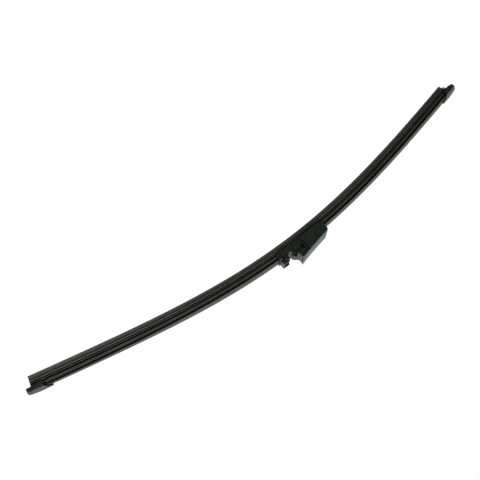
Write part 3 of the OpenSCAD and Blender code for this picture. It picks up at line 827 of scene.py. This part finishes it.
@dataclass
class Connector:
    """The connector: base with collar and arm socket, pin housing, and cover."""

    base_edge: float = 0.15
    housing_edge: float = 0.12
    cover_edge: float = 0.2
    base_finish: MouldedPlastic = MouldedPlastic("connector_plastic_black", shade_reach_mm=4.0)
    cover_finish: MouldedPlastic = MouldedPlastic("cover_plastic_black", colour=(0.0042, 0.0094, 0.0062),
                                                  pale=(0.0078, 0.0148, 0.0106), shade_reach_mm=3.2)

    def build(self) -> list[bpy.types.Object]:
        """Copies, rounds and dresses the three mouldings.

        Returns:
            The base, the pin housing and the cover.
        """
        base = moulded_copy("base", "connector_base", self.base_edge)
        housing = moulded_copy("housing", "pin_housing", self.housing_edge)
        cover = moulded_copy("cover", "connector_cover", self.cover_edge, clamped=True)
        return [
            dress(base, self.base_finish, "connector_plastic", "connector_base"),
            dress(housing, self.base_finish, "connector_plastic", "pin_housing"),
            dress(cover, self.cover_finish, "cover_plastic", "connector_cover"),
        ]


@dataclass(frozen=True)
class PhotoView:
    """The photograph's view: angles in degrees, distances in millimetres, focal length in pixels of a 480 frame."""

    azimuth: float = 16.02
    elevation: float = 19.25
    roll: float = 139.0
    distance: float = 480.9
    focal_px: float = 663.9
    frame_px: float = 480.0
    aim: tuple[float, float, float] = (19.49, 0.0, -32.97)
    slide_px: float = 0.5

    def build(self) -> bpy.types.Object:
        """Makes the scene's camera.

        Returns:
            The camera, which is also set as the scene's.
        """
        az, el, roll = (math.radians(a) for a in (self.azimuth, self.elevation, self.roll))
        back = Vector((math.sin(az) * math.cos(el), -math.cos(az) * math.cos(el), math.sin(el)))
        level = Vector((math.cos(az), math.sin(az), 0.0))
        rise = back.cross(level)
        right = math.cos(roll) * level + math.sin(roll) * rise
        up = math.cos(roll) * rise - math.sin(roll) * level
        slide = self.distance * self.slide_px / self.focal_px
        place = (Vector(self.aim) + back * self.distance + (up - right) * slide) * MM
        lens = bpy.data.cameras.new("photo_camera")
        lens.sensor_width = SENSOR_MM
        lens.lens = SENSOR_MM * self.focal_px / self.frame_px
        lens.clip_start = 0.01
        camera = bpy.data.objects.new("photo_camera", lens)
        bpy.context.scene.collection.objects.link(camera)
        rows = [(right[i], up[i], back[i], place[i]) for i in range(3)]
        camera.matrix_world = Matrix(rows + [(0.0, 0.0, 0.0, 1.0)])
        bpy.context.scene.camera = camera
        return camera


@dataclass(frozen=True)
class SoftLamp:
    """A rectangular soft lamp: power in watts, its length along X, width and places in metres."""

    name: str
    watts: float
    length: float
    width: float
    place: tuple[float, float, float]
    aim: tuple[float, float, float] = (0.0, 0.0, -0.02)

    def build(self) -> bpy.types.Object:
        """Makes the lamp, turned to its aim.

        Returns:
            The lamp.
        """
        light = bpy.data.lights.new(self.name, "AREA")
        light.energy = self.watts
        light.shape = "RECTANGLE"
        light.size = self.length
        light.size_y = self.width
        lamp = bpy.data.objects.new(self.name, light)
        bpy.context.scene.collection.objects.link(lamp)
        lamp.location = self.place
        lamp.rotation_euler = (Vector(self.aim) - lamp.location).to_track_quat("-Z", "Y").to_euler()
        return lamp


@dataclass
class Studio:
    """Plain soft studio: a pale surround, a white floor that keeps a faint shadow, a key lamp and a top lamp.

    The surround and the floor are white where they are seen. In reflections they are white only towards the back.
    """

    surround: float = 0.15
    floor_half: float = 1.6
    floor_albedo: float = 0.12
    floor_glow: float = 0.95
    lamps: tuple[SoftLamp, ...] = (
        SoftLamp("key_lamp", 4.0, 0.4, 0.4, (0.2, -0.4, 0.4), (0.04, 0.0, -0.02)),
        SoftLamp("top_lamp", 5.6, 1.6, 0.4, (0.0, 0.08, 0.55)),
    )
    view: PhotoView = PhotoView()

    def seen(self, pad: NodePad, backdrop: bpy.types.NodeSocket) -> bpy.types.NodeSocket:
        """Tells the rays that see the white from those that gather light.

        Args:
            pad: The tree's pad.
            backdrop: 1 on the backdrop side of the studio, 0 on the side behind the camera.

        Returns:
            1 for the camera's and a transmission's rays, the backdrop's share for reflections, else 0.
        """
        path = pad.add("LightPath").outputs
        mirrored = pad.maths("MULTIPLY", path["Is Glossy Ray"], backdrop)
        some = pad.maths("MAXIMUM", path["Is Camera Ray"], mirrored)
        return pad.maths("MAXIMUM", some, path["Is Transmission Ray"])

    def build_world(self) -> None:
        """Makes the surround: plain light on the object, white where it is seen."""
        world = bpy.data.worlds.new("surround")
        world.use_nodes = True
        pad = NodePad(world.node_tree)
        light = pad.add("Background", Color=WHITE, Strength=self.surround).outputs[0]
        white = pad.add("Background", Color=WHITE, Strength=1.0).outputs[0]
        way = pad.add("SeparateXYZ", i0=pad.add("TexCoord").outputs["Generated"]).outputs
        ahead = pad.maths("ADD", way["Y"], pad.maths("MULTIPLY", way["Z"], 0.8))
        seen = self.seen(pad, pad.ranged(ahead, -0.1, 0.3))
        pad.output(pad.add("MixShader", i0=seen, i1=light, i2=white).outputs[0], "OutputWorld")
        bpy.context.scene.world = world

    def build_floor(self) -> bpy.types.Object:
        """Makes the floor under the lowest point: pale paint for light, and white with a shadow where it is seen.

        Returns:
            The floor, which is part of the stage.
        """
        low = SOLID_BOX[0][2] - 0.05 * MM
        half = self.floor_half
        mesh = bpy.data.meshes.new("floor")
        corners = [(-half, -half, low), (half, -half, low), (half, half, low), (-half, half, low)]
        mesh.from_pydata(corners, [], [(0, 1, 2, 3)])
        material, pad = new_material("floor_white")
        paint = pad.add("BsdfDiffuse", Color=(self.floor_albedo, self.floor_albedo, self.floor_albedo, 1.0)).outputs[0]
        glow = pad.add("Emission", Color=WHITE, Strength=self.floor_glow).outputs[0]
        lit = pad.add("AddShader", i0=paint, i1=glow).outputs[0]
        white = pad.add("Emission", Color=WHITE, Strength=1.0).outputs[0]
        at = pad.add("TexCoord").outputs["Object"]
        reach = pad.add("VectorMath", {"operation": "LENGTH"}, i0=at).outputs["Value"]
        seen = self.seen(pad, pad.ranged(pad.add("SeparateXYZ", i0=at).outputs["Y"], -0.02, 0.06))
        faded = pad.add("MixShader", i0=pad.ranged(reach, 0.35, 1.0), i1=lit, i2=white).outputs[0]
        pad.output(pad.add("MixShader", i0=seen, i1=paint, i2=faded).outputs[0])
        mesh.materials.append(material)
        floor = new_object("floor", mesh)
        return floor

    def build(self) -> None:
        """Makes the camera, the surround, the floor and the lamps."""
        bpy.context.scene.view_settings.view_transform = "Standard"
        self.view.build()
        self.build_world()
        self.build_floor()
        for lamp in self.lamps:
            lamp.build()


def main() -> None:
    """Builds the studio and every piece, in order."""
    logging.basicConfig(level=logging.INFO, format="%(message)s")
    Studio().build()
    WipingRubber().build()
    for side in Side:
        SpringStrips().build(side)
    for end in End:
        CoverStrips().build(end)
        EndCap().build(end)
    Connector().build()


if __name__ == "__main__":
    main()
